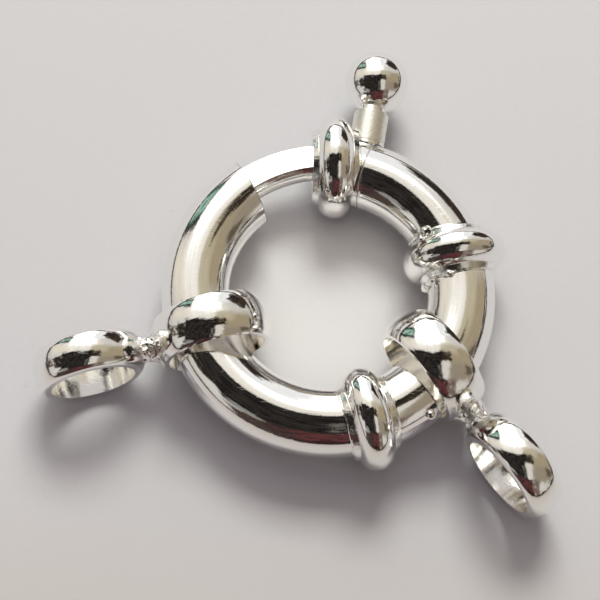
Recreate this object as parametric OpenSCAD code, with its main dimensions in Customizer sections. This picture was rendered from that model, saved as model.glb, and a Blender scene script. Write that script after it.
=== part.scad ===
// Spring ring clasp: a jumbo bolt ring in polished silver with two figure-eight connectors.
// Units are millimetres. The ring's axis is +Z through the origin and z = 0 is the surface it lies on.
// The ring lies level on its three beads, and the connectors stand on edge beside it.

/* [Ring tube] */
// Outside diameter of the tube ring
ring_outer_d = 18; // [17:0.1:21]
// Outside diameter of the tube itself
tube_d = 3.64; // [3.4:0.02:3.8]
// Thickness of the tube's wall
tube_wall = 0.3; // [0.26:0.02:0.4]
// Angle round the ring of the open catch end of the tube
catch_angle = 130.8; // [128.8:0.2:133.2]
// Angle that this end is cut out of square
catch_turn_angle = 5.5; // [0:0.5:8]
// Length of the narrow guide for the bolt inside the bead beside the mouth
guide_length = 1.2; // [0.8:0.1:1.6]

/* [Beads] */
// Height of each bead above the tube
bead_h = 1.01; // [0.9:0.01:1.2]
// Width of each bead along the tube
bead_w = 1.95; // [1.8:0.05:2.1]
// Angle round the ring of the bead beside the mouth
bead_top_angle = 92.8; // [92:0.1:94]
// Angle that this bead is turned out of square to the tube
bead_top_turn_angle = 3; // [1:0.5:5]
// Distance that this bead sits outside the tube's centre line
bead_top_out = 0.2; // [0.1:0.02:0.3]
// Angle round the ring of the bead on the right
bead_right_angle = 22.5; // [20:0.1:24]
// Angle that the right bead is turned out of square to the tube
bead_right_turn_angle = -7; // [-9:0.5:-2]
// Angle round the ring of the bead nearest the viewer
bead_low_angle = -68.4; // [-72:0.1:-66]
// Width of the thin soldered foot on each side of a bead
foot_w = 0.28; // [0.2:0.02:0.34]
// Height of that foot above the tube, next to the bead
foot_h = 0.26; // [0.2:0.02:0.34]

/* [Solder blob] */
// Diameter of the small solder blob on the tube's outer side
blob_d = 0.6; // [0.4:0.05:0.8]
// Angle round the ring of the blob
blob_angle = -47.3; // [-50:0.1:-45]
// Angle of the blob up from the tube's outermost line
blob_rise_angle = 35; // [20:1:50]
// Height of the blob's centre above the tube's surface
blob_lift = 0.02; // [0:0.01:0.1]

/* [Bolt and trigger] */
// Diameter of the curved sliding bolt
bolt_d = 1.96; // [1.8:0.02:2.04]
// Distance that the bolt reaches into the catch end, as an angle
bolt_reach_angle = 5.5; // [4:0.5:6]
// Angle that the bolt travels from closed to open
travel_angle = 38; // [35:0.5:39]
// Angle round the ring of the trigger when the ring is closed
trigger_angle = 81.8; // [81:0.1:82.2]
// Angle that the trigger leans from straight outwards, towards the bead
trigger_lean_angle = 4.5; // [0:0.5:5]
// Width of the neck that joins the trigger to the bolt through the slot
neck_w = 0.9; // [0.8:0.05:1.1]
// Diameter of the trigger's round stem
stem_d = 1.95; // [1.75:0.05:2.1]
// Height of the stem above the ring's outer edge
stem_h = 1.85; // [1.5:0.05:2.2]
// Diameter of the groove above the stem
groove_d = 1.5; // [1.2:0.05:1.7]
// Height of the groove above the stem
groove_h = 0.25; // [0.15:0.05:0.4]
// Diameter of the thumb ball
ball_d = 3.62; // [3.2:0.02:3.8]
// Depth that the ball sinks into the groove
ball_sink = 0.07; // [0.03:0.01:0.14]
// Clearance between the moving bolt and the tube
run_gap = 0.06; // [0.05:0.01:0.09]
// Angle of bolt left in the tube behind the trigger
tail_angle = 8; // [7:0.5:12]
// Width of the flat on top of the bolt
flat_w = 1.36; // [0.8:0.02:1.5]
// Angle that the flat is tilted outwards
flat_tilt_angle = 10; // [0:1:15]

/* [Connectors] */
// Play of the large eye's hole round the tube, as a difference of diameters
big_play_gap = 1.56; // [1.4:0.02:1.8]
// Thickness of the large eye's band at its crown
big_band_t = 0.55; // [0.5:0.05:0.8]
// Thickness of the large eye's band at its flat edges
big_edge_t = 0.25; // [0.15:0.05:0.35]
// Width of the large eye's band
big_band_w = 2.4; // [2.1:0.05:2.4]
// Hole diameter of the small eye, where the chain is fastened
small_hole_d = 4.48; // [4.3:0.02:4.6]
// Thickness of the small eye's band at its crown
small_band_t = 0.72; // [0.6:0.02:0.86]
// Thickness of the small eye's band at its flat edges
small_edge_t = 0.25; // [0.15:0.05:0.4]
// Width of the small eye's band
small_band_w = 2.1; // [1.9:0.05:2.3]
// Diameter of the neck between the two eyes
link_neck_d = 1.35; // [1.1:0.05:1.6]
// Left connector: angle round the ring where it hangs
left_angle = 206.1; // [200:0.1:212]
// Left connector: distance from here to where its large eye would touch the tube
left_rest_gap = 0.22; // [0.06:0.01:0.5]
// Left connector: angle that it is turned from pointing at the ring's centre
left_turn_angle = -4.8; // [-8:0.1:0]
// Left connector: distance between its eyes, bridged by the neck
left_gap = 0.55; // [0.45:0.05:0.7]
// Right connector: angle round the ring where it hangs
right_angle = 329.1; // [324:0.1:335]
// Right connector: distance from here to where its large eye would touch the tube
right_rest_gap = 0.09; // [0.06:0.01:0.2]
// Right connector: angle that it is turned from pointing at the ring's centre
right_turn_angle = -15.7; // [-17:0.1:-10]
// Right connector: distance between its eyes, bridged by the neck
right_gap = 0.65; // [0.55:0.05:0.8]

/* [Hidden] */
// Radii of the tube, its bore and its centre line, and the height of that line
tube_r = tube_d / 2;
bore_r = tube_r - tube_wall;
outer_r = ring_outer_d / 2;
ring_r = outer_r - tube_r;
bead_r = tube_r + bead_h;
axis_z = bead_r;
// The bolt runs along the outer side of the bore, where the guide stands in by a small step
bolt_r = bolt_d / 2;
guide_step = 0.01;
bolt_ring_r = ring_r + bore_r - guide_step - run_gap - bolt_r;
tip_angle = catch_angle + bolt_reach_angle;
// Angle of tube built past its open end and cut off again
spare_angle = 2;
// The tube ends inside the bead beside the mouth, and the guide closes that bead's far half
end_sink_angle = 3.5;
bead_half_angle = asin((bead_w / 2 + foot_w) / ring_r);
tube_end_angle = bead_top_angle + bead_half_angle - end_sink_angle;
guide_start_angle = bead_top_angle + bead_half_angle - guide_length / ring_r * 180 / PI;
// Height of the bolt's flat above the bolt's centre line; the flat starts where the tube ends
flat_rise = sqrt(pow(bolt_r, 2) - pow(flat_w / 2, 2));
flat_start_angle = tube_end_angle;
// Half the slot's angle, and how far the leaning neck trails behind at the bolt
neck_half_angle = asin((neck_w / 2 + run_gap) / (outer_r - tube_wall));
neck_trail_angle = asin((outer_r - bolt_ring_r) * sin(trigger_lean_angle) / bolt_ring_r);
// Angle by which a cut runs past the end that it opens
past_angle = 6;
// Angle on each side of the trigger over which the stem is cut clear of the tube
relief_angle = 15;
// How far a foot's outer corner is drawn in
foot_slope = 0.12;
// Distance of the blob's centre from the tube's centre line
blob_out = tube_r + blob_lift;
// Turned details of the trigger
neck_root = 0.6;
stem_foot = 0.4;
lap = 0.1;
ball_out = stem_h + groove_h + ball_d / 2 - ball_sink;
// Outside radii of the eyes, the curve of their domes, and the metal kept between neck and hole
big_hole_d = tube_d + big_play_gap;
big_r = big_hole_d / 2 + big_band_t;
small_r = small_hole_d / 2 + small_band_t;
small_dome_spread = 1;
big_dome_spread = 1.15;
neck_keep_gap = 0.3;
$fn = 96;

// How far inside the tube's centre line a turned large eye's centre lies when the eye touches the tube.
function touch_inset(turn) =
  sqrt(pow(big_play_gap / 2, 2) - pow(big_r - axis_z, 2))
  - big_band_w / 2 * tan(abs(turn))
  + pow(big_band_w / 2, 2) / (2 * ring_r);

// Which piece to draw

// A round bar bent along the ring's circle, from one angle to another.
module bent_round(from, to, r, around) {
  translate([0, 0, axis_z])
    rotate([0, 0, from])
      rotate_extrude(angle = to - from)
        translate([around, 0])
          circle(r = r);
}

// One bead: a half-round collar with a thin tapered foot on each side.
module bead(at, turn, out, grow) {
  crown_r = bead_r - bead_w / 2;
  half = bead_w / 2 + grow;
  foot_r = tube_r + foot_h + grow;
  rotate([0, 0, at])
    translate([ring_r + out, 0, axis_z])
      rotate([90, 0, turn])
        rotate_extrude()
          union() {
            translate([0, -half])
              square([crown_r, 2 * half]);
            translate([crown_r, 0])
              circle(r = half);
            polygon([
              [0, -half - foot_w],
              [foot_r - foot_slope, -half - foot_w],
              [foot_r, -half],
              [foot_r, half],
              [foot_r - foot_slope, half + foot_w],
              [0, half + foot_w]
            ]);
          }
}

// The bead beside the mouth, as built or grown by a clearance.
module mouth_bead(grow) {
  bead(bead_top_angle, bead_top_turn_angle, bead_top_out, grow);
}

// What is cut off the tube's open end.
module end_cut() {
  rotate([0, 0, catch_angle])
    translate([outer_r, 0, axis_z])
      rotate([0, 0, -catch_turn_angle])
        translate([-2 * tube_d, -tube_r, -tube_d])
          cube([3 * tube_d, tube_r, 2 * tube_d]);
}

// The hollow tube with its beads, the guide for the bolt and the slot for the trigger.
module ring_tube() {
  color([0.86, 0.86, 0.87])
    difference() {
      union() {
        bent_round(catch_angle - spare_angle, 360 + tube_end_angle, tube_r, ring_r);
        mouth_bead(0);
        bead(bead_right_angle, bead_right_turn_angle, 0, 0);
        bead(bead_low_angle, 0, 0, 0);
        rotate([0, 0, blob_angle])
          translate([ring_r + blob_out * cos(blob_rise_angle), 0, axis_z + blob_out * sin(blob_rise_angle)])
            sphere(d = blob_d);
      }
      end_cut();
      bent_round(catch_angle - past_angle, 360 + guide_start_angle, bore_r, ring_r);
      bent_round(
        guide_start_angle - past_angle,
        bead_top_angle + bead_half_angle + past_angle,
        bolt_r + run_gap,
        bolt_ring_r
      );
      translate([0, 0, axis_z])
        rotate([0, 0, trigger_angle - travel_angle - neck_half_angle - neck_trail_angle])
          rotate_extrude(angle = travel_angle + 2 * neck_half_angle + neck_trail_angle)
            translate([ring_r + bore_r / 2, -neck_w / 2 - run_gap])
              square([tube_r, neck_w + 2 * run_gap]);
    }
}

// Places a piece on the ring's outer edge, with its own +Z pointing out along the trigger.
module on_trigger() {
  rotate([0, 0, trigger_angle])
    translate([outer_r, 0, axis_z])
      rotate([0, 0, trigger_lean_angle])
        rotate([0, 90, 0])
          children();
}

// What is filed off the bolt for its flat.
module bolt_flat() {
  translate([0, 0, axis_z])
    rotate([0, 0, flat_start_angle])
      rotate_extrude(angle = tip_angle + past_angle - flat_start_angle)
        translate([bolt_ring_r, 0])
          rotate(-flat_tilt_angle)
            translate([-bolt_d, flat_rise])
              square([2 * bolt_d, bolt_d]);
}

// The curved bolt with its neck, stem, groove and thumb ball.
module sliding_bolt() {
  color([0.84, 0.84, 0.85])
    union() {
      difference() {
        bent_round(trigger_angle - tail_angle, tip_angle, bolt_r, bolt_ring_r);
        bolt_flat();
      }
      on_trigger()
        translate([0, 0, bolt_ring_r - outer_r])
          cylinder(d = neck_w, h = outer_r - bolt_ring_r + neck_root);
      difference() {
        on_trigger() {
          translate([0, 0, -stem_foot])
            cylinder(d = stem_d, h = stem_h + stem_foot);
          translate([0, 0, stem_h - lap])
            cylinder(d = groove_d, h = ball_out - stem_h + lap);
          translate([0, 0, ball_out])
            sphere(d = ball_d);
        }
        bent_round(trigger_angle - relief_angle, trigger_angle + relief_angle, tube_r + run_gap, ring_r);
        mouth_bead(run_gap);
      }
    }
}

// The section of an eye: a flat inner wall, flat edges and a domed crown.
// A spread of 1 rounds the dome down to the edges, and a larger one leaves a crisp edge.
module eye_section(hole_d, crown_t, edge_t, band_w, spread) {
  rise = (crown_t - edge_t) / (1 - sqrt(1 - 1 / (spread * spread)));
  intersection() {
    translate([hole_d / 2, -band_w / 2])
      square([crown_t + lap, band_w]);
    translate([hole_d / 2 + crown_t - rise, 0])
      union() {
        scale([rise / (spread * band_w / 2), 1])
          circle(d = spread * band_w);
        translate([-crown_t, -band_w / 2])
          square([crown_t, band_w]);
      }
  }
}

// One figure-eight connector, hung round the tube by its large eye.
module connector(at, slack, turn, gap) {
  span = big_r + gap + small_r;
  rotate([0, 0, at])
    translate([ring_r - touch_inset(turn) + slack, 0, 0])
      rotate([0, 0, turn]) {
        translate([0, 0, big_r])
          rotate([90, 0, 0])
            rotate_extrude()
              eye_section(big_hole_d, big_band_t, big_edge_t, big_band_w, big_dome_spread);
        translate([span, 0, small_r])
          rotate([90, 0, 0])
            rotate_extrude()
              eye_section(small_hole_d, small_band_t, small_edge_t, small_band_w, small_dome_spread);
        translate([big_hole_d / 2 + neck_keep_gap, 0, (big_r + small_r) / 2])
          rotate([0, 90, 0])
            cylinder(d = link_neck_d, h = span - (big_hole_d + small_hole_d) / 2 - 2 * neck_keep_gap);
      }
}

// The connector on the left.
module connector_left() {
  color([0.85, 0.85, 0.86])
    connector(left_angle, left_rest_gap, left_turn_angle, left_gap);
}

// The connector on the right.
module connector_right() {
  color([0.85, 0.85, 0.86])
    connector(right_angle, right_rest_gap, right_turn_angle, right_gap);
}

ring_tube();
sliding_bolt();
connector_left();
connector_right();
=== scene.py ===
"""Spring ring clasp in polished silver, lying on a pale paper sheet. Lengths are in metres."""
import math

import bmesh
import bpy
from mathutils import Matrix, Vector, noise


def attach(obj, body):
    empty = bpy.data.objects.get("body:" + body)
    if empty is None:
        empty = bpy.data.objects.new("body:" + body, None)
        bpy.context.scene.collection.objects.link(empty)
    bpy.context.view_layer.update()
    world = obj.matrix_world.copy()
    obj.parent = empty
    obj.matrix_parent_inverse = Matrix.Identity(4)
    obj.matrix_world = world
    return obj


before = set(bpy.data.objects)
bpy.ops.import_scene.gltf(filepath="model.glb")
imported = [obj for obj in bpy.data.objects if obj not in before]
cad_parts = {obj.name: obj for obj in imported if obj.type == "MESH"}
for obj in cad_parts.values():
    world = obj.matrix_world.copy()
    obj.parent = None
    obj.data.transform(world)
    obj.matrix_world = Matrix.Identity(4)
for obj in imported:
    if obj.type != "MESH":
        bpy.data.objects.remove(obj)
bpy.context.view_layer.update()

MM = 0.001
SCENE = bpy.context.scene

# Sizes of the part that the looks follow, in millimetres and degrees
TUBE_R = 1.82
RING_R = 7.18
OUTER_R = 9.0
AXIS_Z = 2.83
BEAD_HALF = 0.975
FOOT_W = 0.28
BEADS = {
    # angle round the ring, turn out of square, distance that it sits outwards of the tube's axis
    "mouth": (92.8, 3.0, 0.2),
    "right": (22.5, -7.0, 0.0),
    "low": (-68.4, 0.0, 0.0),
}
TRIGGER_ANGLE = 81.8
TRIGGER_LEAN = 4.5
STEM_H = 1.88
JOINT_LINE_ANGLE = 77.0
CATCH_ANGLE = 130.8
CATCH_TURN = 5.5
SMALL_HOLE_R = 2.24
SMALL_R = 2.96
BIG_HOLE_R = 2.6
BIG_R = 3.15
EYES = {
    # angle round the ring, distance of the large eye's centre from the ring's, turn, gap between the eyes
    "left": (206.1, 6.689, -4.8, 0.55),
    "right": (329.1, 6.796, -15.7, 0.65),
}


class Nodes:
    """Short calls for building one node tree."""

    def __init__(self, tree):
        self.tree = tree
        tree.nodes.clear()

    def add(self, kind, **settings):
        made = self.tree.nodes.new(kind)
        for name, value in settings.items():
            setattr(made, name, value)
        return made

    def put(self, value, socket):
        if isinstance(value, bpy.types.NodeSocket):
            self.tree.links.new(value, socket)
        else:
            socket.default_value = value

    def math(self, operation, a, b=0.0, c=0.0, clamp=False):
        made = self.add("ShaderNodeMath", operation=operation, use_clamp=clamp)
        for value, socket in zip((a, b, c), made.inputs):
            self.put(value, socket)
        return made.outputs[0]

    def vector(self, operation, a, b=(0.0, 0.0, 0.0), scale=None):
        made = self.add("ShaderNodeVectorMath", operation=operation)
        self.put(a, made.inputs[0])
        self.put(b, made.inputs[1])
        if scale is not None:
            self.put(scale, made.inputs["Scale"])
        return made.outputs["Value" if operation in ("DOT_PRODUCT", "LENGTH") else "Vector"]

    def step(self, value, low, high):
        """0 below low and 1 above high, smooth in between. It is turned round where low is above high."""
        made = self.add("ShaderNodeMapRange", interpolation_type="SMOOTHSTEP")
        flip = low > high
        self.put(value, made.inputs["Value"])
        self.put(min(low, high), made.inputs["From Min"])
        self.put(max(low, high), made.inputs["From Max"])
        self.put(1.0 if flip else 0.0, made.inputs["To Min"])
        self.put(0.0 if flip else 1.0, made.inputs["To Max"])
        return made.outputs["Result"]

    def band(self, value, low, high, soft):
        """1 between low and high, with soft edges."""
        return self.math(
            "MULTIPLY",
            self.step(value, low - soft, low + soft),
            self.step(value, high + soft, high - soft),
        )

    def both(self, *masks):
        """1 only where all the masks are 1."""
        found = masks[0]
        for mask in masks[1:]:
            found = self.math("MULTIPLY", found, mask)
        return found

    def blend(self, share, a, b):
        """a where share is 0 and b where it is 1, for numbers."""
        made = self.add("ShaderNodeMix", data_type="FLOAT")
        self.put(share, made.inputs[0])
        self.put(a, made.inputs[2])
        self.put(b, made.inputs[3])
        return made.outputs[0]

    def colour(self, share, a, b):
        """a where share is 0 and b where it is 1, for colours."""
        made = self.add("ShaderNodeMix", data_type="RGBA")
        self.put(share, made.inputs[0])
        for value, socket in ((a, made.inputs[6]), (b, made.inputs[7])):
            if isinstance(value, tuple):
                value = (*value, 1.0)
            self.put(value, socket)
        return made.outputs[2]

    def noise(self, place, scale, detail=2.0, rough=0.5, warp=0.0, output="Fac"):
        made = self.add("ShaderNodeTexNoise")
        self.put(place, made.inputs["Vector"])
        made.inputs["Scale"].default_value = scale
        made.inputs["Detail"].default_value = detail
        made.inputs["Roughness"].default_value = rough
        made.inputs["Distortion"].default_value = warp
        return made.outputs[output]

    def turned(self, place, angle):
        """The place turned about Z by an angle in degrees."""
        made = self.add("ShaderNodeVectorRotate", rotation_type="Z_AXIS")
        self.put(place, made.inputs["Vector"])
        made.inputs["Angle"].default_value = math.radians(angle)
        return made.outputs[0]

    def length(self, a, b):
        """The length of the hypotenuse over a and b."""
        return self.math("SQRT", self.math("ADD", self.math("MULTIPLY", a, a), self.math("MULTIPLY", b, b)))

    def parts(self, vector):
        made = self.add("ShaderNodeSeparateXYZ")
        self.put(vector, made.inputs[0])
        return made.outputs[0], made.outputs[1], made.outputs[2]

    def join(self, x, y, z):
        made = self.add("ShaderNodeCombineXYZ")
        for value, socket in zip((x, y, z), made.inputs):
            self.put(value, socket)
        return made.outputs[0]


# Camera
# Its own axes (right, up and back towards it) and its place in millimetres, fitted to the photo
VIEW_AXES = (
    (0.9945219, 0.09914417, 0.03311546),
    (-0.10452846, 0.94329374, 0.31507256),
    (0.0, -0.31680807, 0.94848967),
)
VIEW_FROM = (-1.49990, -26.13531, 79.43613)
SENSOR_MM = 36.0
LENS_MM = 90.0


def make_camera():
    """A long lens that looks down on the clasp at the photo's angle."""
    data = bpy.data.cameras.new("camera")
    data.sensor_width = SENSOR_MM
    data.lens = LENS_MM
    data.clip_start = 0.005
    data.clip_end = 20.0
    camera = bpy.data.objects.new("camera", data)
    SCENE.collection.objects.link(camera)
    turn = Matrix(VIEW_AXES).transposed().to_4x4()
    camera.matrix_world = Matrix.Translation(Vector(VIEW_FROM) * MM) @ turn
    SCENE.camera = camera


# Room and light
# What the polished silver mirrors: patches of light and dark all round, fixed in the room. Directions are
# charted in degrees about the line from the clasp to the photo's viewpoint, across to the right and up
# towards the light. Each row: name, across, up, half width, half height, turn, soft edge, share broken up
# into specks, and colour as printed (0 to 255, more where it is brighter than white paper).
ROOM = (
    ("cream back", -20, 40, 56, 12, 0, 8, 0.0, (225, 217, 201)),
    ("bright back", -9, 68, 33, 33, 0, 14, 0.0, (252, 249, 243)),
    ("brightest", -8, 78, 25, 29, 0, 9, 0.0, (380, 377, 370)),
    ("bright right", 24, 82, 14, 20, 0, 5, 0.0, (240, 240, 240)),
    ("green edge", -61, 72, 22, 14, -8, 1.5, 0.0, (52, 55, 50)),
    ("green", -59, 72, 18, 9, -8, 1.5, 0.15, (100, 142, 124)),
    ("green light", -57, 71, 14, 6, -8, 2, 0.4, (166, 196, 182)),
    ("brown right", 56, 71, 22, 12, -25, 1.5, 0.0, (76, 65, 57)),
    ("brown low right", 66, 66, 12, 8, -25, 1.5, 0.0, (60, 48, 41)),
    ("dark right", 48, 76, 13, 8, -25, 1.5, 0.1, (46, 41, 37)),
    ("tan", 52, 20, 34, 20, 0, 8, 0.0, (160, 147, 122)),
    ("tan light", 30, 33, 18, 9, 0, 8, 0.0, (186, 176, 152)),
    ("tan low", 54, -12, 26, 18, 0, 7, 0.0, (146, 135, 118)),
    ("brown far right", 73, -8, 10, 9, 0, 4, 0.0, (96, 86, 71)),
    ("brown left", -72, 3, 15, 11, 10, 2, 0.4, (80, 70, 60)),
    ("light left", -57, -27, 10, 10, 0, 3, 0.0, (206, 205, 199)),
    ("brown front", -27, -48, 25, 14, 0, 3, 0.0, (72, 60, 56)),
    ("red edge", -2, -49, 26, 22, 0, 3, 0.0, (50, 37, 35)),
    ("red brown", -6, -50, 21, 17, 0, 3, 0.4, (72, 54, 53)),
    ("red", 4, -50, 17, 17, 0, 3, 0.35, (94, 54, 55)),
    ("red low", -1, -68, 19, 6, 0, 2, 0.0, (46, 28, 28)),
    ("front right", 32, -44, 11, 18, 0, 4, 0.2, (112, 95, 87)),
    ("light middle", 20, -2, 8, 23, -6, 2, 0.0, (210, 205, 196)),
    ("brown middle", 21, 19, 12, 9, -6, 2, 0.1, (50, 42, 34)),
    ("dark", -18, -1, 31, 28, 0, 1.5, 0.0, (28, 26, 25)),
    ("dark grain", -18, -2, 28, 25, 0, 2, 0.6, (50, 46, 43)),
    ("grey low left", -37, -28, 8, 5, -15, 2, 0.0, (140, 138, 134)),
    ("grey line", 7, -12, 2, 14, -4, 1.5, 0.3, (112, 106, 99)),
    ("dark left", -54, 3, 10, 16, 0, 2, 0.12, (44, 39, 34)),
    ("brown line", 86, 12, 3, 22, 0, 1.5, 0.2, (64, 54, 43)),
)

# Bare room above the patches, and the dark line of low things round the table, as printed
ROOM_LOW = (196, 190, 184)
ROOM_HIGH = (207, 203, 197)
TABLE_LINE = (58, 53, 48)
# Degrees by which the patches' edges waver
EDGE_WAVER = 14.0


def printed(colour):
    """A linear colour from the 0 to 255 values that it would be printed with."""
    found = []
    for value in colour:
        value = value / 255.0
        found.append(value / 12.92 if value < 0.04 else ((value + 0.055) / 1.055) ** 2.4)
    return tuple(found)


def make_room():
    """The room round the clasp: bright behind, tan on the right, and dark in the middle and in front."""
    world = bpy.data.worlds.new("room")
    SCENE.world = world
    world.use_nodes = True
    n = Nodes(world.node_tree)
    ray = n.add("ShaderNodeTexCoord").outputs["Generated"]
    z = n.parts(ray)[2]
    side = n.vector("DOT_PRODUCT", ray, VIEW_AXES[0])
    up = n.vector("DOT_PRODUCT", ray, VIEW_AXES[1])
    near = n.vector("DOT_PRODUCT", ray, VIEW_AXES[2])
    away = n.math("MAXIMUM", n.vector("LENGTH", n.join(side, up, 0.0)), 0.001)
    fan = n.math("DIVIDE", n.math("MULTIPLY", n.math("ARCTAN2", away, near), 180.0 / math.pi), away)
    waver = n.vector("SUBTRACT", n.noise(ray, 7.0, 4.0, 0.6, output="Color"), (0.5, 0.5, 0.5))
    chart = n.join(n.math("MULTIPLY", side, fan), n.math("MULTIPLY", up, fan), 0.0)
    chart = n.vector("ADD", chart, n.vector("SCALE", waver, scale=EDGE_WAVER))
    speck = n.noise(ray, 11.0, 4.0, 0.62)

    sky = n.colour(n.step(z, 0.0, 0.35), printed(ROOM_LOW), printed(ROOM_HIGH))
    for name, across, upward, half_w, half_h, turn, soft, broken, colour in ROOM:
        spot = n.vector("SUBTRACT", chart, (across, upward, 0.0))
        if turn:
            spot = n.turned(spot, -turn)
        a, b, _ = n.parts(spot)
        mask = n.both(
            n.step(n.math("ABSOLUTE", a), half_w + soft, half_w - soft),
            n.step(n.math("ABSOLUTE", b), half_h + soft, half_h - soft),
        )
        if broken:
            level = 0.36 + 0.22 * broken
            mask = n.both(mask, n.step(speck, level - 0.03, level + 0.03))
        sky = n.colour(mask, sky, printed(colour))
        sky.node.label = name
    mottle = n.math("MULTIPLY_ADD", n.noise(ray, 16.0, 4.0, 0.6), 0.36, 0.82)
    sky = n.vector("SCALE", sky, scale=mottle)
    # A dark broken line of low things all round the table
    reach = n.math("MULTIPLY_ADD", n.noise(ray, 5.0, 3.0, 0.6), 0.16, -0.01)
    low = n.step(n.math("SUBTRACT", z, reach), 0.008, -0.008)
    sky = n.colour(low, sky, printed(TABLE_LINE))
    shade = n.add("ShaderNodeBackground")
    n.put(sky, shade.inputs["Color"])
    shade.inputs["Strength"].default_value = 1.0
    out = n.add("ShaderNodeOutputWorld")
    n.put(shade.outputs[0], out.inputs["Surface"])


def soft_light(name, width, height, power, colour, across, upward, far):
    """A soft area light aimed at the ring's centre, from an angle round it and an angle above the table,
    both in degrees. Lengths are in metres and power is in watts. The silver doesn't mirror it."""
    data = bpy.data.lights.new(name, "AREA")
    data.shape = "RECTANGLE"
    data.size = width
    data.size_y = height
    data.energy = power
    data.color = colour
    light = bpy.data.objects.new(name, data)
    SCENE.collection.objects.link(light)
    turn = math.radians(across)
    rise = math.radians(upward)
    away = Vector((math.cos(rise) * math.cos(turn), math.cos(rise) * math.sin(turn), math.sin(rise)))
    light.location = away * far
    light.rotation_mode = "QUATERNION"
    light.rotation_quaternion = away.to_track_quat("Z", "Y")
    light.visible_camera = False
    light.visible_glossy = False
    return light


def make_light():
    """A soft light from behind, a faint bluish fill, and a glow for the light that the polished ring throws
    down into its own hole. The silver mirrors the room's patches in their place."""
    soft_light(
        "key",
        width=0.125, height=0.095,
        power=0.99, colour=(0.96, 0.99, 0.905),
        across=91.0, upward=51.0, far=0.30,
    )
    soft_light(
        "fill",
        width=0.60, height=0.60,
        power=1.10, colour=(0.94, 0.84, 0.95),
        across=250.0, upward=84.0, far=0.60,
    )
    glow = soft_light(
        "glow",
        width=0.010, height=0.010,
        power=0.00012, colour=(1.0, 0.95, 0.74),
        across=90.0, upward=86.0, far=0.007,
    )
    glow.data.spread = math.radians(60.0)


# The paper's colours
PAPER_DARK = (0.400, 0.390, 0.408)
PAPER_LIGHT = (0.430, 0.420, 0.438)
PAPER_CLOUD = (0.416, 0.406, 0.420)
PAPER_SPECK = (0.33, 0.315, 0.32)
# Painted shade: the paper's darker, warmer colour in front of the clasp
PAPER_SHADED_FRONT = (0.392, 0.354, 0.328)


def make_floor():
    """A sheet of pale paper with fine fibres and a few specks, with painted shade that makes it darker and
    warmer towards the viewer.
    """
    mesh = bpy.data.meshes.new("paper")
    half = 0.6
    drop = -0.000004
    corners = [(-half, -half, drop), (half, -half, drop), (half, half, drop), (-half, half, drop)]
    mesh.from_pydata(corners, [], [(0, 1, 2, 3)])
    floor = bpy.data.objects.new("paper", mesh)
    SCENE.collection.objects.link(floor)
    material = bpy.data.materials.new("pale_paper")
    material.use_nodes = True
    n = Nodes(material.node_tree)
    place = n.add("ShaderNodeTexCoord").outputs["Object"]
    fibre = n.noise(place, 2600.0, 5.0, 0.6)
    cloud = n.noise(place, 45.0, 2.0, 0.5)
    grey = n.colour(fibre, PAPER_DARK, PAPER_LIGHT)
    grey = n.colour(n.step(cloud, 0.35, 0.7), grey, PAPER_CLOUD)
    speck = n.step(n.noise(place, 900.0, 1.0, 0.4), 0.80, 0.84)
    grey = n.colour(speck, grey, PAPER_SPECK)
    # Painted shade: the paper turns darker and warmer towards the viewer
    near = n.step(n.parts(place)[1], -0.008, -0.022)
    grey = n.colour(n.math("MULTIPLY", near, 0.6), grey, PAPER_SHADED_FRONT)
    shade = n.add("ShaderNodeBsdfPrincipled")
    n.put(grey, shade.inputs["Base Color"])
    shade.inputs["Roughness"].default_value = 0.9
    shade.inputs["Specular IOR Level"].default_value = 0.2
    bump = n.add("ShaderNodeBump")
    bump.inputs["Strength"].default_value = 0.25
    bump.inputs["Distance"].default_value = 0.00004
    n.put(fibre, bump.inputs["Height"])
    n.put(bump.outputs[0], shade.inputs["Normal"])
    out = n.add("ShaderNodeOutputMaterial")
    n.put(shade.outputs[0], out.inputs["Surface"])
    mesh.materials.append(material)


# Silver
BRIGHT = (0.955, 0.945, 0.925)
TARNISHED = (0.90, 0.875, 0.82)
IN_GRAIN = (0.60, 0.56, 0.50)
IN_SCRATCH = (0.75, 0.73, 0.70)
SATIN = (0.79, 0.76, 0.66)
# Dark colour of a fine line: the joint's own colour, and painted shade along the tube's open end
IN_JOINT_AND_END_SHADE = (0.35, 0.33, 0.30)


def scaled(n, place, angle, stretch):
    """Coordinates turned about Z and stretched, for fine lines in one direction."""
    made = n.add("ShaderNodeMapping")
    made.inputs["Rotation"].default_value = (0.3, 0.2, math.radians(angle))
    made.inputs["Scale"].default_value = stretch
    n.put(place, made.inputs["Vector"])
    return made.outputs[0]


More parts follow.
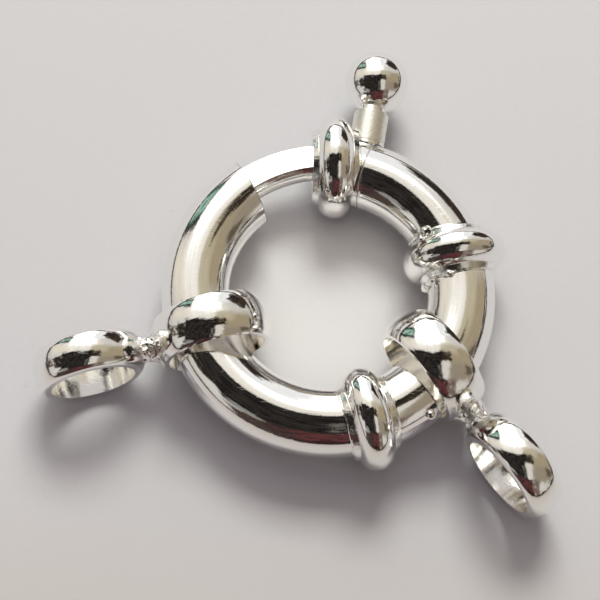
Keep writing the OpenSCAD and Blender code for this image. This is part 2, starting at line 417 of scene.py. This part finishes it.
def silver(name, rough_mask=None, dull_mask=None, joint_and_end_shade_mask=None):
    """Polished silver. The masks are functions of the tree and the place in millimetres: rough_mask is 1 on
    cast or soldered grain, dull_mask on satin metal, and the last mask on a fine dark line in the metal: a
    real joint, and painted shade along the tube's open end."""
    material = bpy.data.materials.new(name)
    material.use_nodes = True
    n = Nodes(material.node_tree)
    place = n.add("ShaderNodeTexCoord").outputs["Object"]
    mm = n.vector("SCALE", place, scale=1000.0)
    grain = rough_mask(n, mm) if rough_mask else 0.0
    dull = dull_mask(n, mm) if dull_mask else 0.0

    cloud = n.noise(mm, 0.45, 3.0, 0.55)
    ripple = n.noise(mm, 2.6, 3.0, 0.55, 0.3)
    pits = n.noise(mm, 11.0, 3.0, 0.6)
    lumps = n.noise(mm, 4.2, 4.0, 0.62, 0.6)
    lines_a = n.step(n.noise(scaled(n, mm, 25.0, (0.5, 15.0, 15.0)), 1.0, 2.0, 0.5), 0.68, 0.74)
    lines_b = n.step(n.noise(scaled(n, mm, -50.0, (0.4, 18.0, 18.0)), 1.0, 2.0, 0.5), 0.69, 0.75)
    lines = n.math("MAXIMUM", lines_a, lines_b)

    tarnish = n.math("MULTIPLY", n.step(cloud, 0.48, 0.75), 0.35)
    base = n.colour(tarnish, BRIGHT, TARNISHED)
    base = n.colour(n.math("MULTIPLY", grain, n.step(lumps, 0.55, 0.35)), base, IN_GRAIN)
    base = n.colour(n.math("MULTIPLY", lines, 0.10), base, IN_SCRATCH)
    base = n.colour(n.math("MULTIPLY", dull, 0.6), base, SATIN)

    rough = n.math("MULTIPLY_ADD", n.step(cloud, 0.35, 0.7), 0.025, 0.025)
    rough = n.math("MULTIPLY_ADD", lines, 0.10, rough)
    rough = n.blend(dull, rough, n.math("MULTIPLY_ADD", pits, 0.20, 0.20))
    rough = n.blend(grain, rough, n.math("MULTIPLY_ADD", pits, 0.22, 0.10))

    # Heights are in millimetres
    height = n.math("MULTIPLY_ADD", ripple, 0.0035, n.math("MULTIPLY", pits, 0.0019))
    height = n.math("MULTIPLY_ADD", lines, -0.0008, height)
    height = n.math("MULTIPLY_ADD", n.math("MULTIPLY", grain, lumps), 0.10, height)
    height = n.math("MULTIPLY_ADD", n.math("MULTIPLY", dull, pits), 0.014, height)
    # A fine darker groove: the real joint line, and painted shade along the tube's open end
    if joint_and_end_shade_mask:
        joint_and_end_shade = joint_and_end_shade_mask(n, mm)
        height = n.math("MULTIPLY_ADD", joint_and_end_shade, -0.02, height)
        base = n.colour(n.math("MULTIPLY", joint_and_end_shade, 0.6), base, IN_JOINT_AND_END_SHADE)
        rough = n.blend(joint_and_end_shade, rough, 0.3)

    shade = n.add("ShaderNodeBsdfPrincipled")
    shade.inputs["Metallic"].default_value = 1.0
    n.put(base, shade.inputs["Base Color"])
    n.put(rough, shade.inputs["Roughness"])
    bump = n.add("ShaderNodeBump")
    bump.inputs["Strength"].default_value = 1.0
    bump.inputs["Distance"].default_value = MM
    n.put(height, bump.inputs["Height"])
    n.put(bump.outputs[0], shade.inputs["Normal"])
    out = n.add("ShaderNodeOutputMaterial")
    n.put(shade.outputs[0], out.inputs["Surface"])
    return material


def in_bead(n, mm, at, turn, out):
    """The place in one bead's own axes: x outwards, y along the tube, z up."""
    moved = n.vector("SUBTRACT", n.turned(mm, -at), (RING_R + out, 0.0, AXIS_Z))
    return n.parts(n.turned(moved, -turn))


def bead_feet(n, mm):
    """A light grain on the soldered feet beside the three beads."""
    found = 0.0
    for at, turn, out in BEADS.values():
        x, y, z = in_bead(n, mm, at, turn, out)
        off = n.math("ABSOLUTE", y)
        foot = n.both(
            n.band(off, BEAD_HALF - 0.10, BEAD_HALF + FOOT_W + 0.10, 0.06),
            n.step(n.length(x, z), TUBE_R + 0.55, TUBE_R + 0.35),
        )
        found = n.math("MAXIMUM", found, foot)
    return n.math("MULTIPLY", found, 0.22)


def tube_joint_and_end_shade(n, mm):
    """The fine line where the tube was closed by the bead beside the mouth, and a dark line along the edge
    of its open end that is painted shade from the opening.
    """
    x, y, z = n.parts(n.turned(mm, -JOINT_LINE_ANGLE))
    bow = n.math("MULTIPLY_ADD", n.math("MULTIPLY", z, z), -0.02, y)
    closed = n.both(n.band(bow, -0.045, 0.015, 0.012), n.step(x, 0.0, 1.0))
    # Painted shade: a dark line along the tube's open end, standing for the shade inside the opening
    at = math.radians(CATCH_ANGLE)
    turn = math.radians(CATCH_ANGLE - CATCH_TURN)
    shift = n.vector("SUBTRACT", mm, (OUTER_R * math.cos(at), OUTER_R * math.sin(at), 0.0))
    off = n.vector("DOT_PRODUCT", shift, (-math.sin(turn), math.cos(turn), 0.0))
    near = n.vector("DOT_PRODUCT", mm, (math.cos(at), math.sin(at), 0.0))
    end = n.both(n.band(off, -0.02, 0.035, 0.012), n.step(near, 2.0, 3.0))
    return n.math("MAXIMUM", closed, end)


def in_eyes(n, mm, side):
    """The place in one connector's own axes: x from the large eye to the small one, y across, z up."""
    at, reach, turn, _ = EYES[side]
    centre = (reach * math.cos(math.radians(at)), reach * math.sin(math.radians(at)), 0.0)
    return n.parts(n.turned(n.vector("SUBTRACT", mm, centre), -(at + turn)))


def link_grain(side):
    """A mask for one connector: rough on its soldered neck, and faintly so in the small eye's hole."""
    span = BIG_R + EYES[side][3] + SMALL_R

    def mask(n, mm):
        x, y, z = in_eyes(n, mm, side)
        dx = n.math("SUBTRACT", x, span)
        dz = n.math("SUBTRACT", z, SMALL_R)
        wall = n.step(n.length(dx, dz), SMALL_HOLE_R + 0.07, SMALL_HOLE_R + 0.02)
        neck = n.both(
            n.band(x, BIG_R - 0.12, span - SMALL_R + 0.35, 0.12),
            n.step(n.math("ABSOLUTE", y), 1.0, 0.8),
        )
        return n.math("MAXIMUM", n.math("MULTIPLY", wall, 0.05), n.math("MULTIPLY", neck, 0.9))

    return mask


def stem_satin(n, mm):
    """1 on the trigger's satin stem."""
    lean = math.radians(TRIGGER_ANGLE + TRIGGER_LEAN)
    foot = math.radians(TRIGGER_ANGLE)
    shift = n.vector("SUBTRACT", mm, (OUTER_R * math.cos(foot), OUTER_R * math.sin(foot), AXIS_Z))
    along = n.vector("DOT_PRODUCT", shift, (math.cos(lean), math.sin(lean), 0.0))
    return n.band(along, 0.0, STEM_H, 0.05)


def wear(piece, material):
    """Give the whole piece one material."""
    if not piece.material_slots:
        piece.data.materials.append(material)
    for place in piece.material_slots:
        place.material = material


# Solder
def skin(made, rings):
    """Faces between each ring of points and the next."""
    for a, b in zip(rings, rings[1:]):
        sides = len(a)
        for j in range(sides):
            made.faces.new((a[j], a[(j + 1) % sides], b[(j + 1) % sides], b[j]))


def finish_piece(name, mesh_maker, material):
    """A smooth piece of the scene from a finished mesh, carried by the ring."""
    mesh = bpy.data.meshes.new(name)
    mesh_maker.to_mesh(mesh)
    mesh_maker.free()
    for face in mesh.polygons:
        face.use_smooth = True
    piece = bpy.data.objects.new(name, mesh)
    SCENE.collection.objects.link(piece)
    mesh.materials.append(material)
    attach(piece, "clasp_ring")
    return piece


# Where each neck's lumps are read in the noise
NECK_SEEDS = {"left": Vector((3.7, 1.1, 8.2)), "right": Vector((6.1, 4.4, 2.5))}


def solder_neck(side, material):
    """Solder run round the neck between a connector's two eyes, flared where it meets them."""
    at, reach, turn, gap = EYES[side]
    out = math.radians(at + turn)
    centre = Vector((reach * math.cos(math.radians(at)), reach * math.sin(math.radians(at)), 0.0))
    along = Vector((math.cos(out), math.sin(out), 0.0))
    across = Vector((-math.sin(out), math.cos(out), 0.0))
    start = BIG_HOLE_R + 0.15
    end = BIG_R + gap + SMALL_R - SMALL_HOLE_R - 0.15
    waist = BIG_R + gap / 2 + 0.05
    seed = NECK_SEEDS[side]
    steps = 40
    sides = 56
    made = bmesh.new()
    rings = []
    for k in range(steps + 1):
        x = start + (end - start) * k / steps
        bend = (x - waist) / ((end if x > waist else start) - waist)
        flare = 0.68 + (0.38 if x > waist else 0.46) * bend ** 2
        ring = []
        for j in range(sides):
            a = 2 * math.pi * j / sides
            spot = Vector((x * 1.6, math.cos(a) * 1.3, math.sin(a) * 1.3)) + seed
            ridge = 1.0 - abs(noise.noise(spot * 1.5))
            lump = 0.16 * noise.noise(spot * 0.9)
            r = flare + lump + 0.30 * (ridge - 0.8) + 0.05 * noise.noise(spot * 3.2)
            place = centre + along * x + across * (r * math.cos(a))
            place.z = (BIG_R + SMALL_R) / 2 + r * math.sin(a)
            ring.append(made.verts.new(place * MM))
        rings.append(ring)
    skin(made, rings)
    made.faces.new(rings[0])
    made.faces.new(rings[-1])
    bmesh.ops.recalc_face_normals(made, faces=made.faces)
    return finish_piece("solder_neck_" + side, made, material)


# Lumps of solder inside the ring, beside the right bead. Each row: degrees round the ring, degrees round the
# tube from its outermost line, height above the tube, and half sizes along, round and out of the tube.
INSIDE_LUMPS = (
    (10.5, 150.0, 0.05, 0.30, 0.45, 0.22),
    (12.0, 118.0, 0.04, 0.26, 0.40, 0.16),
    (34.0, 148.0, 0.05, 0.34, 0.50, 0.24),
    (33.0, 172.0, 0.06, 0.30, 0.42, 0.26),
    (36.5, 128.0, 0.03, 0.28, 0.34, 0.15),
    (10.0, 178.0, 0.06, 0.32, 0.42, 0.26),
)


def solder_lumps(name, spots, material):
    """Small uneven lumps of solder on the tube, one for each row of a table like INSIDE_LUMPS."""
    made = bmesh.new()
    for k, (at, roll, lift, long, wide, high) in enumerate(spots):
        t = math.radians(at)
        psi = math.radians(roll)
        out = Vector((math.cos(t), math.sin(t), 0.0))
        tangent = Vector((-math.sin(t), math.cos(t), 0.0))
        normal = out * math.cos(psi) + Vector((0.0, 0.0, math.sin(psi)))
        spread = normal.cross(tangent)
        point = out * RING_R + Vector((0.0, 0.0, AXIS_Z)) + normal * (TUBE_R + lift)
        seed = Vector((k * 3.1, at * 0.2, 1.7))
        grown = bmesh.ops.create_icosphere(made, subdivisions=4, radius=1.0)
        for v in grown["verts"]:
            d = v.co.normalized()
            bulge = 1.0 + 0.35 * noise.noise(d * 1.4 + seed) + 0.10 * noise.noise(d * 3.5 + seed)
            d = d * bulge
            v.co = (point + tangent * (d.x * long) + spread * (d.y * wide) + normal * (d.z * high)) * MM
    return finish_piece(name, made, material)


def skin_in_bead(psi, t, bead):
    """A point of the tube's skin in one bead's own axes. The angles, in radians, are psi round the tube and
    t round the ring."""
    at, turn, out = BEADS[bead]
    r = RING_R + TUBE_R * math.cos(psi)
    along = t - math.radians(at)
    flat = Vector((r * math.cos(along), r * math.sin(along), TUBE_R * math.sin(psi)))
    spin = Matrix.Rotation(-math.radians(turn), 3, "Z")
    return spin @ (flat - Vector((RING_R + out, 0.0, 0.0)))


def foot_angle(psi, aim, bead):
    """The angle round the ring, in radians, where the tube's skin lies aim millimetres along the bead."""
    t = math.radians(BEADS[bead][0]) + aim / RING_R
    small = 1e-4
    for _ in range(8):
        along = skin_in_bead(psi, t, bead).y
        slope = (skin_in_bead(psi, t + small, bead).y - along) / small
        t -= (along - aim) / slope
    return t


def solder_foot(bead, end, material):
    """An uneven line of solder in the corner between the tube and a bead's far (1) or near (-1) end."""
    aim = end * (BEAD_HALF + FOOT_W)
    seed = Vector((BEADS[bead][0] * 0.13, end * 2.0, 5.0))
    steps = 150
    sides = 12
    made = bmesh.new()
    rings = []
    for k in range(steps):
        psi = 2 * math.pi * k / steps
        t = foot_angle(psi, aim, bead)
        normal = Vector((math.cos(psi) * math.cos(t), math.cos(psi) * math.sin(t), math.sin(psi)))
        tangent = Vector((-math.sin(t), math.cos(t), 0.0))
        r = RING_R + TUBE_R * math.cos(psi)
        point = Vector((r * math.cos(t), r * math.sin(t), AXIS_Z + TUBE_R * math.sin(psi)))
        place = Vector((math.cos(psi) * 1.9, math.sin(psi) * 1.9, 0.0)) + seed
        size = 0.055 + 0.06 * noise.noise(place * 1.3) + 0.015 * noise.noise(place * 4.0)
        size = max(size, 0.004)
        push = 0.02 + 0.05 * noise.noise(place * 2.3 + Vector((9.0, 0.0, 0.0)))
        ring = []
        for j in range(sides):
            a = 2 * math.pi * j / sides
            sideways = tangent * (end * push + 1.25 * size * math.cos(a))
            spot = point + sideways + normal * (size * math.sin(a) - 0.01)
            ring.append(made.verts.new(spot * MM))
        rings.append(ring)
    skin(made, rings + rings[:1])
    bmesh.ops.recalc_face_normals(made, faces=made.faces)
    name = "solder_" + bead + ("_far" if end > 0 else "_near")
    return finish_piece(name, made, material)


make_camera()
make_room()
make_light()
make_floor()

wear(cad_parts["ring_tube"], silver("silver_tube", bead_feet, None, tube_joint_and_end_shade))
wear(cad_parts["sliding_bolt"], silver("silver_bolt", None, stem_satin))
wear(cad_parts["connector_left"], silver("silver_left", link_grain("left")))
wear(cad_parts["connector_right"], silver("silver_right", link_grain("right")))

solder = silver("solder_grain", lambda n, mm: 0.10)
for side in EYES:
    solder_neck(side, solder)
for bead in ("right", "low"):
    solder_foot(bead, 1, solder)
    solder_foot(bead, -1, solder)
solder_lumps("solder_inside_right", INSIDE_LUMPS, solder)

# Light goes on between polished pieces that stand close together
SCENE.cycles.max_bounces = 16
SCENE.cycles.glossy_bounces = 14
SCENE.view_settings.view_transform = "Standard"
SCENE.view_settings.look = "None"
